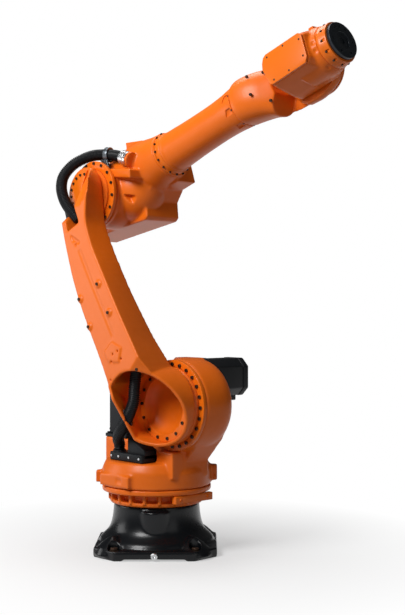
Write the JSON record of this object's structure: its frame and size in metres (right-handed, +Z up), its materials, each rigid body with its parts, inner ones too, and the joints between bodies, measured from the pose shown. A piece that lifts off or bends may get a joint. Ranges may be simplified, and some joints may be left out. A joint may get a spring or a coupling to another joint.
{
  "type": "six-axis industrial robot arm",
  "caption": "Six-axis articulated arm: bolted base, slewing column, side-mounted link arm, tapered forearm and compact wrist ending in a round tool flange.",
  "frame": {"origin": "centre of the base casting's mounting face, on axis 1", "axes": "+Z up along axis 1, +X towards the tool flange in the plane of the arm, +Y to the far side, where the axis 2 and axis 3 motors sit"},
  "size_m": [1.5172, 0.618, 1.8959],
  "materials": {
    "orange_paint": "semi-gloss orange paint on cast metal",
    "black_paint": "gloss black paint on cast iron",
    "black_motor_paint": "satin black paint on cast housings",
    "steel": "machined steel",
    "dark_screw": "oiled dark steel",
    "black_oxide": "black oxide on steel",
    "black_hose_rubber": "matt black corrugated hose"
  },
  "bodies": {
    "base": {"base_frame": "black_paint", "mounting_bolt_1": "dark_screw", "mounting_bolt_2": "dark_screw", "mounting_bolt_3": "dark_screw", "mounting_bolt_4": "dark_screw", "ground_screw": "steel", "connection_panel": "black_motor_paint", "axis1_bearing_ring": "orange_paint", "axis1_stop_bar": "orange_paint", "axis1_gear_unit": "steel"},
    "column": {"column": "orange_paint", "axis1_motor": "black_motor_paint", "axis1_motor_flange": "black_motor_paint", "axis2_flange_ring": "orange_paint", "axis2_gear_unit": "steel", "axis2_motor_flange": "black_motor_paint", "axis2_motor": "black_motor_paint", "junction_box": "black_motor_paint", "lower_hose": "black_hose_rubber"},
    "link": {"link_arm": "orange_paint", "axis2_hub_plate": "orange_paint", "axis3_end_cap": "orange_paint"},
    "arm": {"arm_housing": "orange_paint", "axis3_flange_ring": "orange_paint", "axis3_gear_unit": "steel", "axis4_bolt_ring": "orange_paint", "axis3_motor": "black_motor_paint", "axis4_motor": "black_motor_paint", "axis5_motor": "black_motor_paint", "axis6_motor": "black_motor_paint", "hose_clamp": "steel", "hose_connector": "steel", "upper_hose": "black_hose_rubber"},
    "forearm": {"forearm_tube": "orange_paint", "wrist_body": "orange_paint", "wrist_side_cover": "orange_paint", "axis5_gear_unit": "steel"},
    "wrist": {"wrist_housing": "orange_paint", "wrist_hex_cover": "orange_paint", "wrist_nose_ring": "orange_paint"},
    "flange": {"tool_flange": "black_oxide"},
    "axis5_drive": {"axis5_drive_tube": "steel"},
    "axis6_drive": {"axis6_drive_shaft": "steel"}
  },
  "joints": [
    {"name": "axis1", "type": "hinge", "parent": "base", "child": "column", "pos_m": [0, 0, 0.256], "axis": [0, 0, 1], "range_deg": [-185, 185]},
    {"name": "axis2", "type": "hinge", "parent": "column", "child": "link", "pos_m": [0.175, 0, 0.575], "axis": [0, 1, 0], "range_deg": [-50, 100], "deforming": ["lower_hose"]},
    {"name": "axis3", "type": "hinge", "parent": "link", "child": "arm", "pos_m": [-0.19125, 0, 1.38615], "axis": [0, -1, 0], "range_deg": [-60, 190], "deforming": ["upper_hose"]},
    {"name": "axis4", "type": "hinge", "parent": "arm", "child": "forearm", "pos_m": [-0.20744, 0, 1.43345], "axis": [0.9461, 0, 0.3239], "range_deg": [-350, 350]},
    {"name": "axis5", "type": "hinge", "parent": "forearm", "child": "wrist", "pos_m": [0.77175, 0, 1.76871], "axis": [0, -1, 0], "range_deg": [-120, 120]},
    {"name": "axis6", "type": "hinge", "parent": "wrist", "child": "flange", "pos_m": [0.77175, 0, 1.76871], "axis": [0.9461, 0, 0.3239], "range_deg": [-350, 350]},
    {"name": "axis5_drive_spin", "type": "hinge", "parent": "forearm", "child": "axis5_drive", "pos_m": [-0.20744, 0, 1.43345], "axis": [0.9461, 0, 0.3239], "range_deg": [-360, 360]},
    {"name": "axis6_drive_spin", "type": "hinge", "parent": "forearm", "child": "axis6_drive", "pos_m": [-0.20744, 0, 1.43345], "axis": [0.9461, 0, 0.3239], "range_deg": [-1050, 1050]}
  ],
  "couplings": [
    {"joint": "axis5_drive_spin", "follows": "axis5", "ratio": 3},
    {"joint": "axis6_drive_spin", "follows": "axis6", "ratio": 3}
  ]
}
